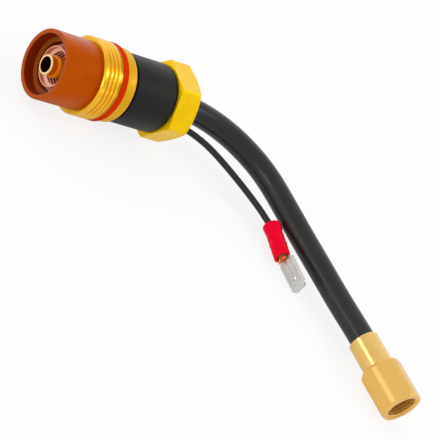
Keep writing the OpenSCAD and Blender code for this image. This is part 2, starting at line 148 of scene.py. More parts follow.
# natural cubic spline through the points of a route, with a point every step: the bends at its points
# solve h0 b0 + 2 (h0 + h1) b1 + h1 b2 = 6 (slope1 - slope0)
def smoothLine(route, step, finePoints=2000):
    route = np.asarray(route, float)
    t = np.concatenate([[0], np.cumsum(np.linalg.norm(np.diff(route, axis=0), axis=1) ** 0.5)])
    n, h = len(t), np.diff(t)
    system, right = np.zeros((n, n)), np.zeros((n, 3))
    system[0, 0] = system[-1, -1] = 1
    inner = np.arange(1, n - 1)
    system[inner, inner - 1] = h[:-1]
    system[inner, inner] = 2 * (h[:-1] + h[1:])
    system[inner, inner + 1] = h[1:]
    right[1:-1] = 6 * np.diff(np.diff(route, axis=0) / h[:, None], axis=0)
    bend = np.linalg.solve(system, right)
    s = np.linspace(0, t[-1], finePoints)
    k = np.clip(np.searchsorted(t, s) - 1, 0, n - 2)
    a, b, w = (t[k + 1] - s)[:, None], (s - t[k])[:, None], h[k][:, None]
    fine = (bend[k] * a ** 3 + bend[k + 1] * b ** 3) / (6 * w) \
        + (route[k] / w - bend[k] * w / 6) * a + (route[k + 1] / w - bend[k + 1] * w / 6) * b
    run = np.concatenate([[0], np.cumsum(np.linalg.norm(np.diff(fine, axis=0), axis=1))])
    even = np.linspace(0, run[-1], int(run[-1] / step) + 1)
    return np.stack([np.interp(even, run, fine[:, k]) for k in range(3)], -1)


def lineLength(line):
    return float(np.linalg.norm(np.diff(line, axis=0), axis=1).sum())


# circles square to a line at each of its points: point + r cos a side + r sin a up, where side is level
def ringsAlong(line, radius, sides):
    ahead = np.gradient(line, axis=0)
    ahead /= np.linalg.norm(ahead, axis=1)[:, None]
    side = np.cross([0, 0, 1], ahead)
    side /= np.linalg.norm(side, axis=1)[:, None]
    up = np.cross(ahead, side)
    angles = evenAngles(sides)
    around = np.cos(angles)[None, :, None] * side[:, None] + np.sin(angles)[None, :, None] * up[:, None]
    return line[:, None] + radius * around


# a tube along a line: solid with capped ends, or with an inner skin where it has a bore
def sweptTube(name, line, radius, sides, bore=0):
    outer = ringsAlong(line, radius, sides)
    if bore:
        inner = ringsAlong(line, bore, sides)[::-1]
        points = np.concatenate([outer, inner]).reshape(-1, 3)
        return meshPiece(name, points, gridFaces(2 * len(line), sides, True, True))
    return meshPiece(name, outer.reshape(-1, 3), cappedFaces(len(line), sides))


# moves the mesh itself, so that the object stays at the origin
def placePiece(piece, matrix):
    piece.data.transform(matrix)
    piece.data.update()


def turnAbout(axis, degrees):
    return Matrix.Rotation(math.radians(degrees), 4, axis)


def moveTo(place):
    return Matrix.Translation(Vector(place) * mm)


cameraView = {"place": (-491.94, -497.45, 391.83), "azimuth": -49.16, "elevation": 29.57, "roll": 45.06,
              "focalPixels": 2726.5, "imagePixels": 440, "sensorWidth": 36, "near": 0.01, "far": 20}


# the view looks back along (sin a cos e, -cos a cos e, sin e) and is rolled about that line
def makeCamera():
    v = cameraView
    a, e, r = (math.radians(v[k]) for k in ("azimuth", "elevation", "roll"))
    back = Vector((math.sin(a) * math.cos(e), -math.cos(a) * math.cos(e), math.sin(e)))
    level = Vector((math.cos(a), math.sin(a), 0))
    upright = back.cross(level)
    right = level * math.cos(r) + upright * math.sin(r)
    up = back.cross(right)
    camera = bpy.data.cameras.new("camera")
    camera.sensor_width = v["sensorWidth"]
    camera.lens = v["sensorWidth"] * v["focalPixels"] / v["imagePixels"]
    camera.clip_start, camera.clip_end = v["near"], v["far"]
    holder = addObject("camera", camera)
    holder.matrix_world = moveTo(v["place"]) @ Matrix((right, up, back)).transposed().to_4x4()
    bpy.context.scene.camera = holder
    print("camera set")


makeCamera()


# the hose comes out of the nut, bends down and sideways, and ends inside the neck of the fitting
hoseFacts = {"radius": 3.9, "bore": 2.45, "sides": 64, "step": 0.8, "nutEnd": 31.2,
             "fittingAt": (82, -75, -5.75), "fittingTurn": -78.8, "inNeck": 12.7}

fittingAt = np.array(hoseFacts["fittingAt"], float)
fittingDir = np.array([math.cos(math.radians(hoseFacts["fittingTurn"])),
                       math.sin(math.radians(hoseFacts["fittingTurn"])), 0])
hoseInside = [(16.7, 0, 0), (23, 0, 0)]  # hidden in the head
hoseRoute = [(hoseFacts["nutEnd"], 0, 0), (35, -0.1, 0), (39.6, -0.8, -0.1), (44.3, -2.1, -0.3),
             (49.3, -4.3, -0.6), (54.1, -7.3, -1), (58.5, -11.1, -1.5), (62.2, -15.6, -2),
             (65.1, -20.6, -2.6), (67.3, -26, -3.2), (69.7, -32.8, -3.9), (72.1, -40.1, -4.5),
             (74.5, -47.7, -5), (76.7, -55.2, -5.4), (78.8, -62.4, -5.7), (80.6, -69, -5.75),
             tuple(fittingAt), tuple(fittingAt + hoseFacts["inNeck"] * fittingDir)]


def makeHose():
    f = named(hoseFacts)
    line = smoothLine(hoseInside + hoseRoute, f.step)
    hose = sweptTube("hoseTube", line, f.radius, f.sides, f.bore)
    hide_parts("hose")
    return hose, line


# the thin lead runs beside the hose, from the lug inside the head to the terminal
leadFacts = {"radius": 1.0, "sides": 24, "step": 0.5}

leadInside = [(12.8, -5.2, -4), (15, -5.2, -4), (22, -4.5, -3.4)]  # hidden in the head
leadRoute = [(hoseFacts["nutEnd"], -4.5, -3.4), (34.5, -5, -3.6), (38.5, -6.4, -3.8), (42.6, -8.3, -4.2),
             (46, -10.7, -4.6), (49, -13.6, -5), (51.7, -16.6, -5.4), (54.2, -19.6, -5.8),
             (56.6, -22.7, -6.2), (58.9, -26, -6.6), (61, -29.5, -7), (62.5, -32.8, -7.3),
             (63.5, -35.3, -7.6), (63.7, -37.6, -7.8)]


def makeLead():
    f = named(leadFacts)
    line = smoothLine(leadInside + leadRoute, f.step)
    lead = sweptTube("pilotLead", line, f.radius, f.sides)
    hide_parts("pilot_lead")
    return lead, line


hose, hoseLine = makeHose()
lead, leadLine = makeLead()
print("cords: hose", round(lineLength(hoseLine), 1), "mm, lead", round(lineLength(leadLine), 1), "mm")


ringFacts = {"front": -6.8, "chamfer": 0.45, "crest": 11.95, "bore": 8.6, "groove": 10.25, "grooveEnd": 2.7,
             "collar": 11.3, "collarEnd": 6.0, "tail": 9.4, "tailEnd": 11.7, "split": -1,
             "frontSoft": 0.1, "tailSoft": 0.14, "segments": 240, "threadRows": 150, "threadEnd": -0.06,
             "depth": 0.62, "pitch": 1.5, "phase": 3.25, "nearSide": 49,  # a root lies on the near side
             "runInAt": 1.1, "runIn": 0.5, "runOutAt": -1.25, "runOut": 0.4}


# radius = outline - depth * threadDepth(turns), where the turns of the right-hand helix grow with x and
# with the angle; the thread fades in behind the front chamfer and out before the seal's groove
def makeThreadRing():
    f = named(ringFacts)
    angles = evenAngles(f.segments)
    thread = np.linspace(f.front + f.chamfer, f.threadEnd, f.threadRows)
    head = softProfile([(f.tailEnd, f.bore), (f.front, f.bore), (f.front, f.crest - f.chamfer),
                        (f.front + f.chamfer, f.crest), (f.split, f.crest)],
                       f.frontSoft)[arcPoints - 1:-arcPoints - 1]
    tail = softProfile([(f.split, f.crest), (0, f.crest), (0, f.groove), (f.grooveEnd, f.groove),
                        (f.grooveEnd, f.collar), (f.collarEnd, f.collar), (f.collarEnd, f.tail),
                        (f.tailEnd, f.tail), (f.tailEnd, f.bore)], f.tailSoft)[arcPoints - 1:]
    x = np.concatenate([head[:, 0], thread, tail[:, 0]])
    base = np.concatenate([head[:, 1], np.full(len(thread), f.crest), tail[:, 1]])
    isThread = np.concatenate([np.zeros(len(head)), np.ones(len(thread)), np.zeros(len(tail))])
    turns = (x[:, None] + f.phase) / f.pitch
    turns = turns + (angles[None] + math.radians(f.nearSide)) / (2 * np.pi)
    runIn = np.clip((x - f.front - f.runInAt) / f.runIn, 0, 1)
    runOut = np.clip((f.runOutAt - x) / f.runOut, 0, 1)
    radius = base[:, None] - f.depth * threadDepth(turns) * (isThread * runIn * runOut)[:, None]
    points, faces = turnedGrid(x, radius, angles)
    ring = meshPiece("threadRing", points, faces, sharpAngle=50)
    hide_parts("thread_ring")
    return ring


# the moulded nose has a stepped bore; softness rounds the corners in the order of the outline
noseFacts = {"rim": -20.2, "rimR": 10.6, "rootR": 10.5, "root": -6.8, "counterR": 9.2, "ledgeR": 8.95,
             "counter": -16.6, "boreR": 7.65, "floor": -8.5, "innerR": 6.35, "end": 5.6, "spigotR": 8.5,
             "softness": [0.1, 0.1, 0.3, 0.3, 0.45, 0.4, 0.08, 0.1, 0.1, 0.1], "segments": 200}


def makeInsulator():
    f = named(noseFacts)
    corners = [(f.floor, f.innerR), (f.floor, f.boreR), (f.counter, f.boreR), (f.counter, f.ledgeR),
               (f.rim, f.counterR), (f.rim, f.rimR), (f.root, f.rootR), (f.root, f.spigotR),
               (f.end, f.spigotR), (f.end, f.innerR)]
    insulator = turnedPiece("frontInsulator", corners, f.softness, f.segments)
    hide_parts("front_insulator")
    return insulator


seatFacts = {"rim": -17.0, "r": 6.25, "entryR": 5.88, "entryEnd": -15.5, "taperEnd": -14.9, "shoulder": -14.6,
             "shoulderR": 7.4, "shoulderEnd": -8.6, "end": -2.0, "boreR": 5.1, "web": -8.5, "webR": 2.95,
             "socket": -6.0, "socketR": 4.55, "soft": 0.1, "segments": 160, "threadRows": 110,
             "threadFrom": 0.3, "threadTo": 0.2, "fadeIn": 8, "fadeOut": 6,  # fades are counted in rows
             "pitch": 1.25, "threadDepth": 0.7, "crestShare": 0.25}


# radius = outline + depth * threadDepth(turns) inside the bore, from the web to the entry's cone
def makeSeat():
    f = named(seatFacts)
    angles = evenAngles(f.segments)
    thread = np.linspace(f.web - f.threadFrom, f.taperEnd + f.threadTo, f.threadRows)
    corners = [(f.web, f.boreR), (f.taperEnd, f.boreR), (f.entryEnd, f.entryR), (f.rim, f.entryR),
               (f.rim, f.r), (f.shoulder, f.r), (f.shoulder, f.shoulderR), (f.shoulderEnd, f.shoulderR),
               (f.shoulderEnd, f.r), (f.end, f.r), (f.end, f.socketR), (f.socket, f.socketR),
               (f.socket, f.webR), (f.web, f.webR)]
    outline = softProfile(corners, f.soft)
    first, rest = outline[:arcPoints], outline[arcPoints:]
    x = np.concatenate([first[:, 0], thread, rest[:, 0]])
    base = np.concatenate([first[:, 1], np.full(len(thread), f.boreR), rest[:, 1]])
    row = np.arange(f.threadRows)
    fade = np.clip(row / f.fadeIn, 0, 1) * np.clip((row[-1] - row) / f.fadeOut, 0, 1)
    isThread = np.concatenate([np.zeros(arcPoints), fade, np.zeros(len(rest))])
    turns = x[:, None] / f.pitch + angles[None] / (2 * np.pi)
    radius = base[:, None] + f.threadDepth * threadDepth(turns, f.crestShare) * isThread[:, None]
    points, faces = turnedGrid(x, radius, angles)
    seat = meshPiece("electrodeSeat", points, faces, sharpAngle=50)
    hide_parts("electrode_seat")
    return seat


# the gas tube's face stands inside the nose, with a waist and a collar behind it
tubeFacts = {"face": -19.5, "bore": 2.15, "mouth": 2.45, "sink": 0.5, "nose": 3.05, "noseLen": 0.6,
             "waist": 2.75, "waistLen": 1.9, "collar": 3.35, "collarLen": 1.2, "body": 2.9,
             "shoulder": -6.0, "tail": 2.6, "tailEnd": -1.0, "segments": 96,
             "softness": [0.1, 0.1, 0.1, 0.3, 0.2, 0.2, 0.2, 0.25, 0.25, 0.1, 0.1, 0.1, 0.1]}


def makeGasTube():
    f = named(tubeFacts)
    waist = f.face + f.noseLen
    collar = waist + f.waistLen
    back = collar + f.collarLen
    corners = [(f.tailEnd, f.bore), (f.face + f.sink, f.bore), (f.face, f.mouth), (f.face, f.nose),
               (waist, f.nose), (waist, f.waist), (collar, f.waist), (collar, f.collar), (back, f.collar),
               (back, f.body), (f.shoulder, f.body), (f.shoulder, f.tail), (f.tailEnd, f.tail)]
    tube = turnedPiece("gasTube", corners, f.softness, f.segments)
    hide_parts("gas_tube")
    return tube


sealFacts = {"ring": 11.1, "section": 0.9, "station": 1.35, "flank": 0.4, "sectionPoints": 28,
             "segments": 200}


# oblong section: two half circles, pushed apart along x by the flank and carried round the axis
def makeSeal():
    f = named(sealFacts)
    section = evenAngles(f.sectionPoints) + 0.01  # the small turn keeps every point off the split
    station = f.station + f.section * np.cos(section) + f.flank * np.sign(np.cos(section))
    radius = f.ring + f.section * np.sin(section)
    points, faces = turnedGrid(station, radius, evenAngles(f.segments))
    seal = meshPiece("cupSeal", points, faces)
    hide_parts("cup_seal")
    return seal


sleeveFacts = {"front": 7.3, "rear": 22.3, "r": 10.65, "bore": 9.5, "soft": 0.25, "segments": 200}


def makeSleeve():
    f = named(sleeveFacts)
    corners = [(f.rear, f.bore), (f.front, f.bore), (f.front, f.r), (f.rear, f.r)]
    sleeve = turnedPiece("bodySleeve", corners, f.soft, f.segments)
    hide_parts("body_sleeve")
    return sleeve


# angles round a hexagon that fall on the edges of its flats and of its turned corners, and its radius
# there: flat / cos(angle from the middle of the flat), but never more than the corner
def hexOutline(flat, corner, turn, flatSteps, cornerSteps=5):
    half = math.acos(flat / corner)
    onFlat = np.linspace(-half, half, flatSteps)
    onCorner = np.linspace(half, math.radians(60) - half, cornerSteps + 2)[1:-1]
    facet = np.concatenate([onFlat, onCorner])
    angles = (np.radians(np.arange(6) * 60)[:, None] + facet[None]).ravel() + turn
    fromMiddle = (np.tile(facet, 6) + math.pi / 6) % (math.pi / 3) - math.pi / 6
    return angles, np.minimum(flat / np.cos(fromMiddle), corner)


nutFacts = {"front": 23.1, "rear": 31.2, "flat": 11.0, "corner": 12.5, "frontFace": 10.9,
            "frontChamfer": 0.45, "rearChamfer": 0.8, "rearSlope": 30, "spigot": 9.4, "spigotEnd": 18.1,
            "spigotEdge": 0.1, "bore": 8.6, "lip": 1.0, "lipBore": 7.9, "edge": 0.06, "flatSteps": 25}


# hexagon with turned corners: two cones cut its ends, and the rows follow the wavy edge of each cone,
# which lies at (hexagon's radius - face's radius) * slope behind the face; shares of e round the edges
def makeNut():
    f = named(nutFacts)
    angles, hexR = hexOutline(f.flat, f.corner, math.pi, f.flatSteps)
    frontIn = (hexR - f.frontFace) * f.frontChamfer / (f.corner - f.frontFace)
    slope = math.tan(math.radians(f.rearSlope))
    rearFace = f.corner - f.rearChamfer / slope
    rearIn = np.maximum(hexR - rearFace, 0) * slope
    rearR = np.minimum(hexR, rearFace)
    e, front, rear = f.edge, f.front, f.rear
    rows = [(f.spigotEnd, f.bore),
            (f.spigotEnd, f.spigot - f.spigotEdge),
            (f.spigotEnd + f.spigotEdge, f.spigot),
            (front, f.spigot),
            (front, f.frontFace - 2 * e),
            (front + e / 6, f.frontFace - e),
            (front + frontIn, hexR - e),
            (front + frontIn + 0.3 * e, hexR - 0.3 * e),
            (front + frontIn + e, hexR),
            ((front + rear) / 2, hexR),
            (rear - rearIn - 1.6 * e, hexR),
            (rear - rearIn - 0.5 * e, hexR - 0.4 * e),
            (rear - 0.7 * e, rearR),
            (rear, rearR - e),
            (rear, f.lipBore),
            (rear - f.lip, f.lipBore),
            (rear - f.lip, f.bore)]
    station, radius = rowGrids(rows, len(angles))
    points, faces = turnedGrid(station, radius, angles)
    nut = meshPiece("glandNut", points, faces, sharpAngle=12)
    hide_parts("gland_nut")
    return nut


threadRing = makeThreadRing()
frontInsulator = makeInsulator()
electrodeSeat = makeSeat()
gasTube = makeGasTube()
cupSeal = makeSeal()
bodySleeve = makeSleeve()
glandNut = makeNut()
print("head made")


# edges and the fillet are offsets of station and radius from the corner that they soften
fittingFacts = {"neck": 4.75, "neckLen": 10.2, "flat": 6.0, "corner": 6.5, "length": 24.7, "roll": -21,
                "rearChamfer": 1.1, "frontChamfer": 0.8, "turnIn": 0.3, "leastTurn": 0.02, "edge": 0.07,
                "neckEdge": [(0, -0.3), (0.1, -0.1), (0.3, 0)],
                "fillet": [(-0.25, 0), (-0.05, 0.08), (0, 0.3)],
                "shoulderEdge": [(0, -0.4), (0.05, -0.3)], "mouthEdge": 0.04,
                "mouth": 4.96, "leadIn": 0.8, "minor": 4.46, "major": 5.0, "pitch": 1.0, "crestShare": 0.2,
                "threadRows": 140, "threadFrom": 0.08, "threadTo": 0.25, "fade": 0.6, "threadEnd": 15.7,
                "hole": 2.35, "neckBore": 12.7, "hoseHole": 4.0, "flatSteps": 13}


# round neck and hexagon in rows of (station, radius), then the female thread
# minor + (major - minor) * threadDepth(turns), which opens into a cone at the mouth
def makeFitting():
    f = named(fittingFacts)
    angles, hexR = hexOutline(f.flat, f.corner, math.radians(-f.roll), f.flatSteps)
    start, end, e = f.neckLen, f.length, f.edge
    rearFace, frontFace = f.flat - f.turnIn, f.corner - f.turnIn
    rearCone = start + (hexR - rearFace) / (f.corner - rearFace) * f.rearChamfer
    frontCone = end - (hexR - frontFace).clip(f.leastTurn) / f.turnIn * f.frontChamfer
    faceR = np.minimum(hexR, frontFace)
    outside = [(f.neckBore, f.hoseHole), (0, f.hoseHole)]
    outside += [(x, f.neck + r) for x, r in f.neckEdge]
    outside += [(start + x, f.neck + r) for x, r in f.fillet]
    outside += [(start + x, f.flat + r) for x, r in f.shoulderEdge]
    outside += [(rearCone, hexR - 0.4 * e), (rearCone + e, hexR), ((start + end) / 2, hexR),
                (frontCone - e, hexR), (frontCone, hexR - 0.4 * e), (end - e, faceR), (end, faceR - e),
                (end, f.mouth + f.mouthEdge), (end - f.mouthEdge, f.mouth)]
    thread = np.linspace(end - f.threadFrom, f.threadEnd + f.threadTo, f.threadRows)
    turns = thread[:, None] / f.pitch + angles[None] / (2 * np.pi)
    fade = np.clip((thread - thread[-1]) / f.fade, 0, 1)
    cut = f.minor + (f.major - f.minor) * threadDepth(turns, f.crestShare) * fade[:, None]
    cut = np.maximum(cut, (f.mouth - (end - thread) * f.leadIn)[:, None])
    inside = [(f.threadEnd, f.minor), (f.threadEnd, f.hole), (f.neckBore, f.hole)]
    station, radius = rowGrids(outside + list(zip(thread, cut)) + inside, len(angles))
    points, faces = turnedGrid(station, radius, angles)
    fitting = meshPiece("endFitting", points, faces, sharpAngle=14)
    placePiece(fitting, moveTo(hoseFacts["fittingAt"]) @ turnAbout("Z", hoseFacts["fittingTurn"]))
    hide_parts("end_fitting")
    return fitting


endFitting = makeFitting()


terminalFacts = {"at": (63.7, -33.4, -7.5), "roll": 8, "tilt": 4, "turn": -90, "mouth": 11.9, "bend": 10,
                 "side": 0.9, "thick": 0.8, "width": 6.3, "shoulder": 1.6, "length": 10.2, "tip": 1.1,
                 "root": (-0.8, 0.8), "neck": (0, 1.1), "soft": 0.35, "edge": 0.16, "drawnIn": 0.35,
                 "latchR": 0.825, "latchInset": 4.1, "latchPoints": 32, "barrelR": 1.75, "barrelBore": 0.95,
                 "barrelStart": 4.4, "barrelEnd": 10.9, "barrelSegments": 64, "seamDepth": 0.16,
                 "seams": [(1.9, 0, 6.6, 0, 0.2), (2.2, 2.1, 9.6, 2.1, 0.12),  # x1, z1, x2, z2, width
                           (2.2, -2.0, 9.2, -2.0, 0.1)]}


def terminalMatrix():
    f = named(terminalFacts)
    return moveTo(f.at) @ turnAbout("Z", f.turn) @ turnAbout("Y", f.tilt) @ turnAbout("X", f.roll)


# tall and wide are added to the sleeve's two diameters at the stations: a flared end for the wire, a
# crimped waist and a flattened front. A jaw's mark is station, width, depth; a fold has a slant too
insulationFacts = {"length": 11.8, "d": 5.2, "stations": [0, 0.6, 2.36, 5.66, 8.5, 11.8],
                   "tall": [0.6, 0.6, 0, 0.35, 0, 0.7], "wide": [0.6, 0.6, 0, -0.35, 0, -0.7],
                   "jaws": [(4.7, 0.7, 0.16), (8.3, 0.8, 0.14)], "jawTurn": 0.9, "jawSpread": 1.5,
                   "folds": [(7.3, 0.18, 0.13, 0.5), (2.0, 0.2, 0.12, 0), (9.3, 0.15, 0.06, 0)],
                   "endSoft": 0.12, "bore": 1.8, "mouthBore": 2.05, "boreStep": 4.4, "stepLength": 0.1,
                   "rows": 110, "segments": 96, "smoothRows": 7}


# oval section (x, wide sin a, tall cos a) * scale, where the scale falls at the marks of the jaws and
# rises at the folds as bell curves exp(-((x - station) / width)^2)
def makeInsulationSleeve():
    f = named(insulationFacts)
    angles = evenAngles(f.segments)
    x = np.linspace(0, f.length, f.rows)
    kernel = np.ones(f.smoothRows) / f.smoothRows
    halves = []
    for added in (f.tall, f.wide):
        half = np.interp(x, f.stations, np.array(added) + f.d) / 2
        halves.append(np.convolve(np.pad(half, f.smoothRows // 2, "edge"), kernel, "valid"))
    soft = f.endSoft
    ends = soft * (np.exp(-x / soft) + np.exp(-(f.length - x) / soft))
    dent = sum(depth * np.exp(-((x - at) / wide) ** 2) for at, wide, depth in f.jaws)
    dentR = dent[:, None] * (0.5 + 0.5 * np.cos(2 * angles[None] + f.jawTurn)) ** f.jawSpread
    fold = sum(height * np.exp(-((x[:, None] - at - slant * np.sin(angles[None])) / wide) ** 2)
               for at, wide, height, slant in f.folds)
    scale = 1 - (dentR - fold) / f.d * 2
    oz, oy = ((half - ends)[:, None] * wave for half, wave in zip(halves, (np.cos(angles), np.sin(angles))))
    outer = np.stack([np.broadcast_to(x[:, None], oy.shape), oy * scale, oz * scale], -1).reshape(-1, 3)
    boreX = np.array([f.length, f.boreStep, f.boreStep - f.stepLength, 0.0])
    boreR = np.array([f.bore, f.bore, f.mouthBore, f.mouthBore])
    inner, _ = turnedGrid(boreX, boreR, angles)
    faces = gridFaces(len(x) + len(boreX), f.segments, True, True)
    sleeve = meshPiece("terminalInsulation", np.concatenate([outer, inner]), faces, sharpAngle=50)
    placePiece(sleeve, terminalMatrix())
    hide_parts("terminal_insulation")
    return sleeve


# the blade's outline in its own plane, with chamfered tip corners, filled round the circle of its hole
def bladePlate():
    f = named(terminalFacts)
    w, xEnd = f.width / 2, f.shoulder + f.length
    oneSide = [f.root, f.neck, (f.shoulder, w), (xEnd - f.tip, w), (xEnd, w - f.tip)]
    outline = softProfile([(x, -z) for x, z in oneSide] + oneSide[::-1], f.soft, 4)
    angles = evenAngles(f.latchPoints)
    hole = np.stack([xEnd - f.latchInset + f.latchR * np.cos(angles), f.latchR * np.sin(angles)], -1)
    flat = np.concatenate([outline, hole])
    points = np.stack([flat[:, 0], np.zeros(len(flat)), flat[:, 1]], -1)
    here = np.arange(len(flat))
    after = here + 1
    after[[len(outline) - 1, -1]] = 0, len(outline)  # each of the two loops closes on itself
    mesh = bpy.data.meshes.new("plateOutline")
    mesh.from_pydata((points * mm).tolist(), np.stack([here, after], -1).tolist(), [])
    bm = bmesh.new()
    bm.from_mesh(mesh)
    bmesh.ops.triangle_fill(bm, edges=bm.edges, use_beauty=True)
    bpy.data.meshes.remove(mesh)
    return addObject("bladePlate", meshFrom(bm, "bladePlate"))


# thin bars that cut the seam of the folded sheet and the coined lines into the blade's face
def seamCutter():
    f = named(terminalFacts)
    bm = bmesh.new()
    for x1, z1, x2, z2, wide in f.seams:
        size = Matrix.Diagonal(((x2 - x1) * mm, 2 * f.seamDepth * mm, wide * mm, 1))
        place = moveTo(((x1 + x2) / 2, -f.thick / 2, (z1 + z2) / 2))
        bmesh.ops.create_cube(bm, size=1, matrix=place @ size)
    return addObject("seamCutter", meshFrom(bm, "seamCutter"))


# the plate gets its thickness, soft edges and seams, is bent and set at the mouth of a turned barrel
def makeBlade():
    f = named(terminalFacts)
    plate, cutter = bladePlate(), seamCutter()
    solid = plate.modifiers.new("thickness", "SOLIDIFY")
    solid.thickness = f.thick * mm
    solid.offset = 0
    bevel = plate.modifiers.new("edges", "BEVEL")
    bevel.width = f.edge * mm
    bevel.segments = 2
    bevel.limit_method = "ANGLE"
    bevel.angle_limit = math.radians(50)
    cut = plate.modifiers.new("seams", "BOOLEAN")
    cut.object = cutter
    cut.operation = "DIFFERENCE"
    cut.solver = "EXACT"
    graph = bpy.context.evaluated_depsgraph_get()
    sheet = bpy.data.meshes.new_from_object(plate.evaluated_get(graph))
    bpy.data.objects.remove(plate)
    bpy.data.objects.remove(cutter)
    halfThick = f.thick / 2
    sheet.transform(moveTo((f.mouth - f.drawnIn, f.side + halfThick, 0)) @ turnAbout("Z", f.bend)
                    @ moveTo((0, -halfThick, 0)))
    barrel = turnedPiece("barrel", [(f.barrelEnd, f.barrelBore), (f.barrelStart, f.barrelBore),
                                    (f.barrelStart, f.barrelR), (f.barrelEnd, f.barrelR)],
                         segments=f.barrelSegments)
    bm = bmesh.new()
    bm.from_mesh(sheet)
    bm.from_mesh(barrel.data)
    bpy.data.objects.remove(barrel)
    blade = addObject("bladeTerminal", meshFrom(bm, "bladeTerminal"))
    smoothShade(blade.data, sharpAngle=35)
    placePiece(blade, terminalMatrix())
    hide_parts("blade_terminal")
    return blade


strandFacts = {"count": 7, "r": 0.28, "pitch": 0.6, "start": 4.4, "free": 0.9, "freeStep": 0.12,
               "cutBack": 0.1, "splay": 0.22, "lift": 0.066, "rings": 16, "sides": 10}


# one strand in the middle and six round it; past the barrel each bends out with the square of the way,
# and those that would meet the blade stop short of the mouth
def makeStrands():
    f, t = named(strandFacts), named(terminalFacts)
    points, faces = [], []
    for k in range(f.count):
        reach = f.pitch if k else 0
        turn = math.radians(60 * k + 30)
        y, z = reach * math.cos(turn), reach * math.sin(turn)
        isClear = y + f.r < t.side - t.thick / 2
        free = f.free + f.freeStep * k if isClear else -f.cutBack
        x = np.linspace(f.start, t.mouth + free, f.rings)
        out = np.clip(x - t.barrelEnd, 0, None) ** 2
        line = np.stack([x, y - f.lift * out, z + f.splay * np.sign(z) * out], -1)
        faces += cappedFaces(f.rings, f.sides, k * f.rings * f.sides)
        points.append(ringsAlong(line, f.r, f.sides).reshape(-1, 3))
    strands = meshPiece("leadStrands", np.concatenate(points), faces)
    placePiece(strands, terminalMatrix())
    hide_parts("lead_strands")
    return strands


terminalInsulation = makeInsulationSleeve()
bladeTerminal = makeBlade()
leadStrands = makeStrands()
print("fitting and terminal made")

pieces = [hose, lead, threadRing, frontInsulator, electrodeSeat, gasTube, cupSeal, bodySleeve, glandNut,
          endFitting, terminalInsulation, bladeTerminal, leadStrands]
for piece in pieces:
    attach(piece, "root")


# values named in_Name or in_1 go to that input of the node, the others to the node itself
def addNode(tree, kind, **values):
    node = tree.nodes.new(kind)
    for name, value in values.items():
        if name.startswith("in_"):
            key = name[3:]
            node.inputs[int(key) if key.isdigit() else key.replace("_", " ")].default_value = value
        else:
            setattr(node, name, value)
    return node


# each joint is a node and its output, then a node and its input
def wire(tree, *joints):
    for giver, output, taker, socket in joints:
        tree.links.new(giver.outputs[output], taker.inputs[socket])


# an empty node group that takes a vector and some named numbers, and puts out named numbers
def groupTree(name, outputs, **numbers):
    tree = bpy.data.node_groups.new(name, "ShaderNodeTree")
    tree.interface.new_socket(name="Vector", in_out="INPUT", socket_type="NodeSocketVector")
    for label, value in numbers.items():
        socket = tree.interface.new_socket(name=label, in_out="INPUT", socket_type="NodeSocketFloat")
        socket.default_value = value
    for label in outputs:
        tree.interface.new_socket(name=label, in_out="OUTPUT", socket_type="NodeSocketFloat")
    return tree, tree.nodes.new("NodeGroupInput"), tree.nodes.new("NodeGroupOutput")


# station and radius about the X axis, in metres
def axisGroup():
    tree, gin, gout = groupTree("axisPlace", ["Station", "Radius"])
    split = addNode(tree, "ShaderNodeSeparateXYZ")
    flat = addNode(tree, "ShaderNodeCombineXYZ")
    length = addNode(tree, "ShaderNodeVectorMath", operation="LENGTH")
    wire(tree, (gin, "Vector", split, 0), (split, "Y", flat, "Y"), (split, "Z", flat, "Z"),
         (flat, 0, length, 0), (split, "X", gout, "Station"), (length, "Value", gout, "Radius"))
    return tree


# fine rings left by the lathe: noise over station and radius, with a slower waver
def turnedMarksGroup():
    tree, gin, gout = groupTree("turnedMarks", ["Rings", "Waver"], Rings=6000.0)
    place = addNode(tree, "ShaderNodeGroup", node_tree=axisPlace)
    join = addNode(tree, "ShaderNodeCombineXYZ")
    rings = addNode(tree, "ShaderNodeTexNoise", in_Detail=3.0, in_Roughness=0.65)
    waver = addNode(tree, "ShaderNodeTexNoise", in_Scale=240.0, in_Detail=4.0, in_Roughness=0.6)
    wire(tree, (gin, "Vector", place, "Vector"), (place, "Station", join, "X"),
         (place, "Radius", join, "Y"), (join, 0, rings, "Vector"), (gin, "Rings", rings, "Scale"),
         (gin, "Vector", waver, "Vector"), (rings, "Fac", gout, "Rings"), (waver, "Fac", gout, "Waver"))
    return tree


# two sizes of noise for moulded and rubber skins, and a sparse speckle
def grainGroup():
    tree, gin, gout = groupTree("skinGrain", ["Fine", "Cloud", "Speck"], Size=3000.0)
    fine = addNode(tree, "ShaderNodeTexNoise", in_Detail=5.0, in_Roughness=0.7)
    cloud = addNode(tree, "ShaderNodeTexNoise", in_Scale=130.0, in_Detail=4.0, in_Roughness=0.55)
    cells = addNode(tree, "ShaderNodeTexVoronoi", in_Scale=900.0)
    speck = addNode(tree, "ShaderNodeMapRange", in_From_Min=0.02, in_From_Max=0.12, in_To_Min=1.0,
                    in_To_Max=0.0)
    wire(tree, (gin, "Vector", fine, "Vector"), (gin, "Size", fine, "Scale"),
         (gin, "Vector", cloud, "Vector"), (gin, "Vector", cells, "Vector"),
         (cells, "Distance", speck, "Value"), (fine, "Fac", gout, "Fine"), (cloud, "Fac", gout, "Cloud"),
         (speck, "Result", gout, "Speck"))
    return tree


axisPlace = axisGroup()
turnedMarks = turnedMarksGroup()
skinGrain = grainGroup()


def startMaterial(name):
    material = bpy.data.materials.new(name)
    material.use_nodes = True
    tree = material.node_tree
    shader = tree.nodes["Principled BSDF"]
    coordinates = addNode(tree, "ShaderNodeTexCoord")
    return material, tree, shader, coordinates.outputs["Object"]


# most values of the noise lie in these ranges
noiseRange = (0.3, 0.7)
waverRange = (0.3, 0.72)


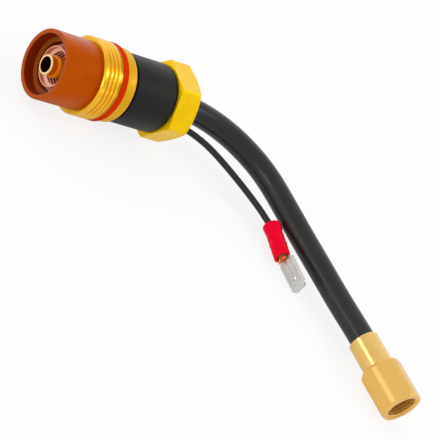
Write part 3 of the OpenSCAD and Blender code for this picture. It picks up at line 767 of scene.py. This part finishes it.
# a straight line takes low to toLow and high to toHigh, and stops there
def mapValue(tree, source, low, high, toLow, toHigh):
    node = addNode(tree, "ShaderNodeMapRange", in_From_Min=low, in_From_Max=high, in_To_Min=toLow,
                   in_To_Max=toHigh)
    tree.links.new(source, node.inputs["Value"])
    return node.outputs["Result"]


# a mask of 0 to 1 becomes low to high
def spreadMask(tree, mask, low, high):
    return mapValue(tree, mask, 0, 1, low, high)


# first and second are colours or the sockets that give them
def mixColour(tree, factor, first, second):
    node = addNode(tree, "ShaderNodeMix", data_type="RGBA")
    for place, value in ((6, first), (7, second)):
        if isinstance(value, tuple):
            node.inputs[place].default_value = (*value, 1)
        else:
            tree.links.new(value, node.inputs[place])
    tree.links.new(factor, node.inputs[0])
    return node.outputs[2]


def joinValues(tree, operation, first, second):
    node = addNode(tree, "ShaderNodeMath", operation=operation)
    tree.links.new(first, node.inputs[0])
    tree.links.new(second, node.inputs[1])
    return node.outputs[0]


# a mask over a span of station or radius in millimetres, from 0 at low to 1 at high
def placeMask(tree, where, axis, low, high):
    place = addNode(tree, "ShaderNodeGroup", node_tree=axisPlace)
    tree.links.new(where, place.inputs["Vector"])
    return mapValue(tree, place.outputs[axis], low * mm, high * mm, 0, 1)


# a patch's mask rises between the first two stations or radii of its span, in millimetres, and falls
# between the last two; within keeps it inside a radius, past which it fades out
def patchMask(tree, where, patch, fade=0.15):
    riseFrom, riseTo, fallFrom, fallTo = patch["span"]
    rise = placeMask(tree, where, patch["axis"], riseFrom, riseTo)
    fall = placeMask(tree, where, patch["axis"], fallTo, fallFrom)
    mask = joinValues(tree, "MULTIPLY", rise, fall)
    if "within" in patch:
        inner = placeMask(tree, where, "Radius", patch["within"] + fade, patch["within"])
        mask = joinValues(tree, "MULTIPLY", mask, inner)
    return mask


shineFacts = {"full": 0.7, "downFrom": -0.6, "downTo": 0.2, "least": 0.15}


# how much of the clear film or sheen shows: it grows from low to high as a face turns away from view,
# and shrinks to its least share as the face looks down
def edgeShine(tree, low, high, start):
    f = named(shineFacts)
    edge = addNode(tree, "ShaderNodeLayerWeight", in_Blend=0.5)
    shine = mapValue(tree, edge.outputs["Facing"], start, f.full, low, high)
    shape = addNode(tree, "ShaderNodeNewGeometry")
    split = addNode(tree, "ShaderNodeSeparateXYZ")
    tree.links.new(shape.outputs["Normal"], split.inputs[0])
    upward = mapValue(tree, split.outputs["Z"], f.downFrom, f.downTo, f.least, 1.0)
    return joinValues(tree, "MULTIPLY", shine, upward)


# what changes over the surface is linked, and what is the same all over is set on its socket
def finishShader(tree, shader, colour, gloss, shine, height, bump, specular, coatRough):
    relief = addNode(tree, "ShaderNodeBump", in_Strength=1.0, in_Distance=bump)
    tree.links.new(height, relief.inputs["Height"])
    for socket, value in (("Base Color", colour), ("Roughness", gloss), ("Coat Weight", shine),
                          ("Normal", relief.outputs["Normal"])):
        tree.links.new(value, shader.inputs[socket])
    shader.inputs["Specular IOR Level"].default_value = specular
    shader.inputs["Coat Roughness"].default_value = coatRough


# turned metal: lathe rings in the bump and the gloss, a slow waver in the colour, and a thin clear film
# that shows more towards the edges; without the film its reflections are all tinted. A patch has its
# own colour and metal share, adds to the roughness and scales the film
def brassMaterial(name, light, deep, rough, rings=5200.0, bump=6e-6, axis=None, film=0.25, filmRough=0.15,
                  metal=1.0, patches=()):
    material, tree, shader, where = startMaterial(name)
    link = tree.links.new
    if axis is not None:
        place, turn = axis
        mapping = addNode(tree, "ShaderNodeMapping", vector_type="TEXTURE", in_Location=place,
                          in_Rotation=turn)
        link(where, mapping.inputs["Vector"])
        where = mapping.outputs["Vector"]
    marks = addNode(tree, "ShaderNodeGroup", node_tree=turnedMarks, in_Rings=rings)
    link(where, marks.inputs["Vector"])
    tone = mapValue(tree, marks.outputs["Waver"], *waverRange, 0, 1)
    colour = mixColour(tree, tone, light, deep)
    gloss = mapValue(tree, marks.outputs["Rings"], *noiseRange, *rough)
    shine = edgeShine(tree, film, 1.0, start=0.32)
    shader.inputs["Metallic"].default_value = metal
    for patch in patches:
        mask = patchMask(tree, where, patch)
        colour = mixColour(tree, mask, colour, patch["colour"])
        gloss = joinValues(tree, "ADD", gloss, spreadMask(tree, mask, 0, patch["rough"]))
        shine = joinValues(tree, "MULTIPLY", shine, spreadMask(tree, mask, 1, patch["film"]))
        if "metal" in patch:
            link(spreadMask(tree, mask, metal, patch["metal"]), shader.inputs["Metallic"])
    finishShader(tree, shader, colour, gloss, shine, marks.outputs["Rings"], bump, 0.0, filmRough)
    return material


# moulded plastic or rubber: fine grain in the bump and the gloss, clouds in the colour, sparse pale
# specks, and a coat that gives the sheen towards the edges. A patch has its own colour and coat, and
# adds to the roughness
def skinMaterial(name, light, deep, rough, grain=3200.0, bump=2e-5, speckle=None, speckShare=0.35,
                 specular=0.2, sheen=0.6, coatRough=0.45, patches=()):
    material, tree, shader, where = startMaterial(name)
    group = addNode(tree, "ShaderNodeGroup", node_tree=skinGrain, in_Size=grain)
    tree.links.new(where, group.inputs["Vector"])
    tone = mapValue(tree, group.outputs["Cloud"], *noiseRange, 0, 1)
    colour = mixColour(tree, tone, light, deep)
    if speckle:
        colour = mixColour(tree, spreadMask(tree, group.outputs["Speck"], 0, speckShare), colour, speckle)
    gloss = mapValue(tree, group.outputs["Fine"], *noiseRange, *rough)
    shine = edgeShine(tree, 0.0, sheen, start=0.35)
    for patch in patches:
        mask = patchMask(tree, where, patch)
        colour = mixColour(tree, mask, colour, patch["colour"])
        gloss = joinValues(tree, "ADD", gloss, spreadMask(tree, mask, 0, patch["rough"]))
        shine = joinValues(tree, "MAXIMUM", shine, spreadMask(tree, mask, 0, patch["coat"]))
    finishShader(tree, shader, colour, gloss, shine, group.outputs["Fine"], bump, specular, coatRough)
    return material


# patches of the nose, the ring's collar, the fitting's hexagon, the gas tube and the seat; the nose, tube and
# seat patches hold painted shade and painted highlights
# painted shade: the nose's bore is coloured dark maroon, where the shade inside it falls
noseBorePaintedShade = {"axis": "Radius", "span": (-2, -1, 9.3, 9.45), "colour": (0.2, 0.016, 0.0),
                "rough": -0.16, "coat": 0.2}
# painted shade on the ledge inside the bore, lighter than the bore's, where the ledge catches light
noseLedgePaintedShade = {"axis": "Station", "span": (-16.95, -16.75, -16.4, -16.2), "colour": (0.3, 0.055, 0.0),
                 "rough": -0.1, "coat": 0.45, "within": 9.25}
# painted shade: the rim face and its edges are coloured darker than the rest of the nose
noseRimPaintedShade = {"axis": "Station", "span": (-22, -21, -20.1, -19.85), "colour": (0.43, 0.074, 0.008),
               "rough": -0.16, "coat": 0.18}
collarLook = {"axis": "Station", "span": (2.0, 2.8, 50, 51), "colour": (0.8, 0.45, 0.012),
              "rough": 0.25, "film": 0.25}
hexLook = {"axis": "Station", "span": (10.0, 10.3, 50, 51), "colour": (0.85, 0.54, 0.14),
           "rough": 0.36, "film": 0.6}
# painted highlight: the gas tube's face is coloured pale cream
tubeFacePaintedHighlight = {"axis": "Station", "span": (-21, -20, -19.2, -18.95), "colour": (1.0, 0.72, 0.34),
                "rough": 0.0, "film": 1.0}
# painted shade: the gas tube's recessed waist is coloured dark red
tubeWaistPaintedShade = {"axis": "Station", "span": (-18.95, -18.85, -17.1, -16.9), "colour": (0.72, 0.16, 0.0),
                 "rough": 0.1, "film": 0.5}
# painted shade: the gas tube's bore is coloured near black
tubeBorePaintedShade = {"axis": "Radius", "span": (-2, -1, 2.42, 2.5), "colour": (0.02, 0.004, 0.006),
                "rough": 0.2, "film": 0.1}
# painted shade: the seat's thread grooves are coloured dark red
seatGroovePaintedShade = {"axis": "Radius", "span": (5.25, 5.45, 5.82, 5.85), "colour": (0.16, 0.004, 0.002),
                  "rough": 0.4, "film": 0.0}
# painted highlight: the seat's cone is coloured pale salmon, like the light it catches
seatConePaintedHighlight = {"axis": "Station", "span": (-15.6, -15.5, -14.85, -14.75), "colour": (1.0, 0.68, 0.47),
                "rough": 0.25, "film": 0.8, "metal": 0.0}
fittingAxis = (tuple(fittingAt * mm), (0, 0, math.radians(hoseFacts["fittingTurn"])))  # its place and turn

brassLooks = {
    "threadBrass": {"light": (0.94, 0.53, 0.012), "deep": (0.89, 0.46, 0.006), "rough": (0.29, 0.35),
                    "bump": 1e-6, "film": 0.5, "patches": [collarLook]},
    "nutBrass": {"light": (1.0, 0.66, 0.008), "deep": (0.93, 0.56, 0.0), "rough": (0.34, 0.5),
                 "rings": 3600.0, "bump": 3e-5, "film": 0.08, "metal": 0.7},
    "fittingBrass": {"light": (0.9, 0.6, 0.19), "deep": (0.84, 0.5, 0.12), "rough": (0.2, 0.24),
                     "bump": 1e-7, "axis": fittingAxis, "film": 0.8, "patches": [hexLook]},
    "tubeBrass": {"light": (1.0, 0.38, 0.0), "deep": (0.99, 0.3, 0.0), "rough": (0.3, 0.36),
                  "bump": 1e-7, "film": 0.4, "metal": 0.25,
                  "patches": [tubeFacePaintedHighlight, tubeWaistPaintedShade, tubeBorePaintedShade]},
    "seatCopper": {"light": (0.97, 0.46, 0.3), "deep": (0.9, 0.38, 0.24), "rough": (0.26, 0.32),
                   "rings": 3000.0, "bump": 2e-7, "film": 0.3, "metal": 0.5,
                   "patches": [seatGroovePaintedShade, seatConePaintedHighlight]},
    "stemBrass": {"light": (0.8, 0.52, 0.16), "deep": (0.66, 0.38, 0.08), "rough": (0.22, 0.38)},
    "bareCopper": {"light": (1.0, 0.36, 0.07), "deep": (0.85, 0.22, 0.03), "rough": (0.3, 0.4),
                   "bump": 1e-6, "film": 0.6, "metal": 0.5},
    "tinnedMetal": {"light": (0.72, 0.71, 0.68), "deep": (0.6, 0.59, 0.56), "rough": (0.24, 0.42),
                    "rings": 2600.0},
}
skinLooks = {
    "insulatorPlastic": {"light": (0.56, 0.092, 0.0), "deep": (0.48, 0.072, 0.0), "rough": (0.4, 0.5),
                         "grain": 2600.0, "bump": 6e-6, "specular": 0.02, "sheen": 0.84, "coatRough": 0.36,
                         "patches": [noseBorePaintedShade, noseLedgePaintedShade, noseRimPaintedShade]},
    "palePlastic": {"light": (0.74, 0.7, 0.6), "deep": (0.66, 0.61, 0.5), "rough": (0.4, 0.55)},
    "sealRubber": {"light": (0.76, 0.04, 0.003), "deep": (0.66, 0.03, 0.002), "rough": (0.5, 0.6),
                   "bump": 1e-5, "specular": 0.0, "sheen": 0.0},
    "blackRubber": {"light": (0.012, 0.009, 0.006), "deep": (0.016, 0.012, 0.008), "rough": (0.6, 0.8),
                    "bump": 1e-5, "specular": 0.05, "sheen": 0.1},
    "sleevePlastic": {"light": (0.012, 0.0115, 0.0105), "deep": (0.009, 0.0085, 0.008),
                      "rough": (0.44, 0.56), "grain": 2400.0, "speckle": (0.13, 0.13, 0.13), "sheen": 0.2},
    "hoseRubber": {"light": (0.014, 0.0133, 0.012), "deep": (0.01, 0.0095, 0.0085), "rough": (0.26, 0.36),
                   "grain": 2600.0, "bump": 1e-5, "speckle": (0.05, 0.05, 0.045), "specular": 0.4,
                   "sheen": 0.0, "coatRough": 0.36},
    "leadPlastic": {"light": (0.02, 0.02, 0.02), "deep": (0.015, 0.015, 0.015), "rough": (0.36, 0.5),
                    "bump": 1e-5, "specular": 0.3},
    "redVinyl": {"light": (0.93, 0.0, 0.032), "deep": (0.84, 0.0, 0.02), "rough": (0.3, 0.4),
                 "grain": 2600.0, "bump": 1e-5, "specular": 0.04, "sheen": 0.7, "coatRough": 0.3},
}
materials = {name: brassMaterial(name, **look) for name, look in brassLooks.items()}
materials.update({name: skinMaterial(name, **look) for name, look in skinLooks.items()})


def dress(piece, material):
    piece.data.materials.clear()
    piece.data.materials.append(materials[material])


dress(hose, "hoseRubber")
dress(lead, "leadPlastic")
dress(threadRing, "threadBrass")
dress(frontInsulator, "insulatorPlastic")
dress(electrodeSeat, "seatCopper")
dress(gasTube, "tubeBrass")
dress(cupSeal, "sealRubber")
dress(bodySleeve, "sleevePlastic")
dress(glandNut, "nutBrass")
dress(endFitting, "fittingBrass")
dress(terminalInsulation, "redVinyl")
dress(bladeTerminal, "tinnedMetal")
dress(leadStrands, "bareCopper")

# the solids that keep their own meshes
innerLooks = {"body_stem": "stemBrass", "core_insulator": "palePlastic", "pilot_lug": "tinnedMetal",
              "front_gasket": "blackRubber", "rear_gasket": "blackRubber", "cable_bush": "blackRubber",
              "hose_ferrule": "tinnedMetal", "hose_core": "bareCopper", "end_spigot": "stemBrass"}
for node, look in innerLooks.items():
    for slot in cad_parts[node].material_slots:
        slot.material = materials[look]
print("materials set")


floorFacts = {"level": -12.22, "size": 4.0, "white": 0.86, "glow": 1.03, "mirrored": 0.6, "share": 0.8}


# pale matte floor: glow = share * max(camera ray, mirrored * glossy ray), so that the camera sees it as
# near white, metal mirrors it, and it still takes a shadow
def floorMaterial():
    f = named(floorFacts)
    material = bpy.data.materials.new("floorWhite")
    material.use_nodes = True
    tree = material.node_tree
    tree.nodes.clear()
    out = addNode(tree, "ShaderNodeOutputMaterial")
    matte = addNode(tree, "ShaderNodeBsdfDiffuse", in_Color=(f.white, f.white, f.white, 1))
    glow = addNode(tree, "ShaderNodeEmission", in_Strength=f.glow)
    path = addNode(tree, "ShaderNodeLightPath")
    mirrored = addNode(tree, "ShaderNodeMath", operation="MULTIPLY", in_1=f.mirrored)
    seen = addNode(tree, "ShaderNodeMath", operation="MAXIMUM")
    factor = addNode(tree, "ShaderNodeMath", operation="MULTIPLY", in_1=f.share)
    mix = addNode(tree, "ShaderNodeMixShader")
    wire(tree, (path, "Is Glossy Ray", mirrored, 0), (path, "Is Camera Ray", seen, 0),
         (mirrored, 0, seen, 1), (seen, 0, factor, 0), (factor, 0, mix, 0), (matte, 0, mix, 1),
         (glow, 0, mix, 2), (mix, 0, out, "Surface"))
    return material


def makeFloor():
    f = named(floorFacts)
    half, z = f.size / 2, f.level * mm
    mesh = bpy.data.meshes.new("floor")
    corners = [(-half, -half, z), (half, -half, z), (half, half, z), (-half, half, z)]
    mesh.from_pydata(corners, [], [(0, 1, 2, 3)])
    mesh.materials.append(floorMaterial())
    floor = addObject("floor", mesh)


# places and aims in metres, sizes as width and height
lampFacts = {
    "keySoft": {"place": (0.62, -0.3, 0.66), "aim": (0.0, 0.0, 0.0), "size": (0.24, 0.13), "power": 1.0},
    "sideSoft": {"place": (0.66, -0.74, 0.18), "aim": (0.02, -0.01, 0.0), "size": (0.24, 0.1), "power": 0.2},
    "frontSoft": {"place": (-0.85, -0.4, 0.3), "aim": (-0.01, 0.0, 0.0), "size": (0.3, 0.3), "power": 1.2},
    "leftSoft": {"place": (-0.62, 0.12, 0.1), "aim": (0.083, -0.08, -0.006), "size": (0.3, 0.16),
                 "power": 0.5},
}


def makeLamps():
    for name, facts in lampFacts.items():
        f = named(facts)
        lamp = bpy.data.lights.new(name, "AREA")
        lamp.shape = "RECTANGLE"
        lamp.size, lamp.size_y = f.size
        lamp.energy = f.power
        turn = (Vector(f.aim) - Vector(f.place)).to_track_quat("-Z", "Y").to_matrix().to_4x4()
        addObject(name, lamp).matrix_world = Matrix.Translation(Vector(f.place)) @ turn


worldFacts = {"low": 0.9, "high": 1.4, "rampFrom": 0.0, "rampTo": 0.75}


# white to the camera; as light, its strength rises from low to high with the Y of the direction
def makeWorld():
    f = named(worldFacts)
    world = bpy.data.worlds.new("studio")
    bpy.context.scene.world = world
    world.use_nodes = True
    tree = world.node_tree
    tree.nodes.clear()
    out = addNode(tree, "ShaderNodeOutputWorld")
    direction = addNode(tree, "ShaderNodeTexCoord")
    split = addNode(tree, "ShaderNodeSeparateXYZ")
    room = addNode(tree, "ShaderNodeBackground")
    white = addNode(tree, "ShaderNodeBackground", in_Strength=1.0)
    path = addNode(tree, "ShaderNodeLightPath")
    mix = addNode(tree, "ShaderNodeMixShader")
    level = mapValue(tree, split.outputs["Y"], f.rampFrom, f.rampTo, f.low, f.high)
    tree.links.new(level, room.inputs["Strength"])
    wire(tree, (direction, "Generated", split, 0), (path, "Is Camera Ray", mix, 0), (room, 0, mix, 1),
         (white, 0, mix, 2), (mix, 0, out, "Surface"))


makeFloor()
makeLamps()
makeWorld()
bpy.context.scene.view_settings.view_transform = "Standard"
print("stage set")
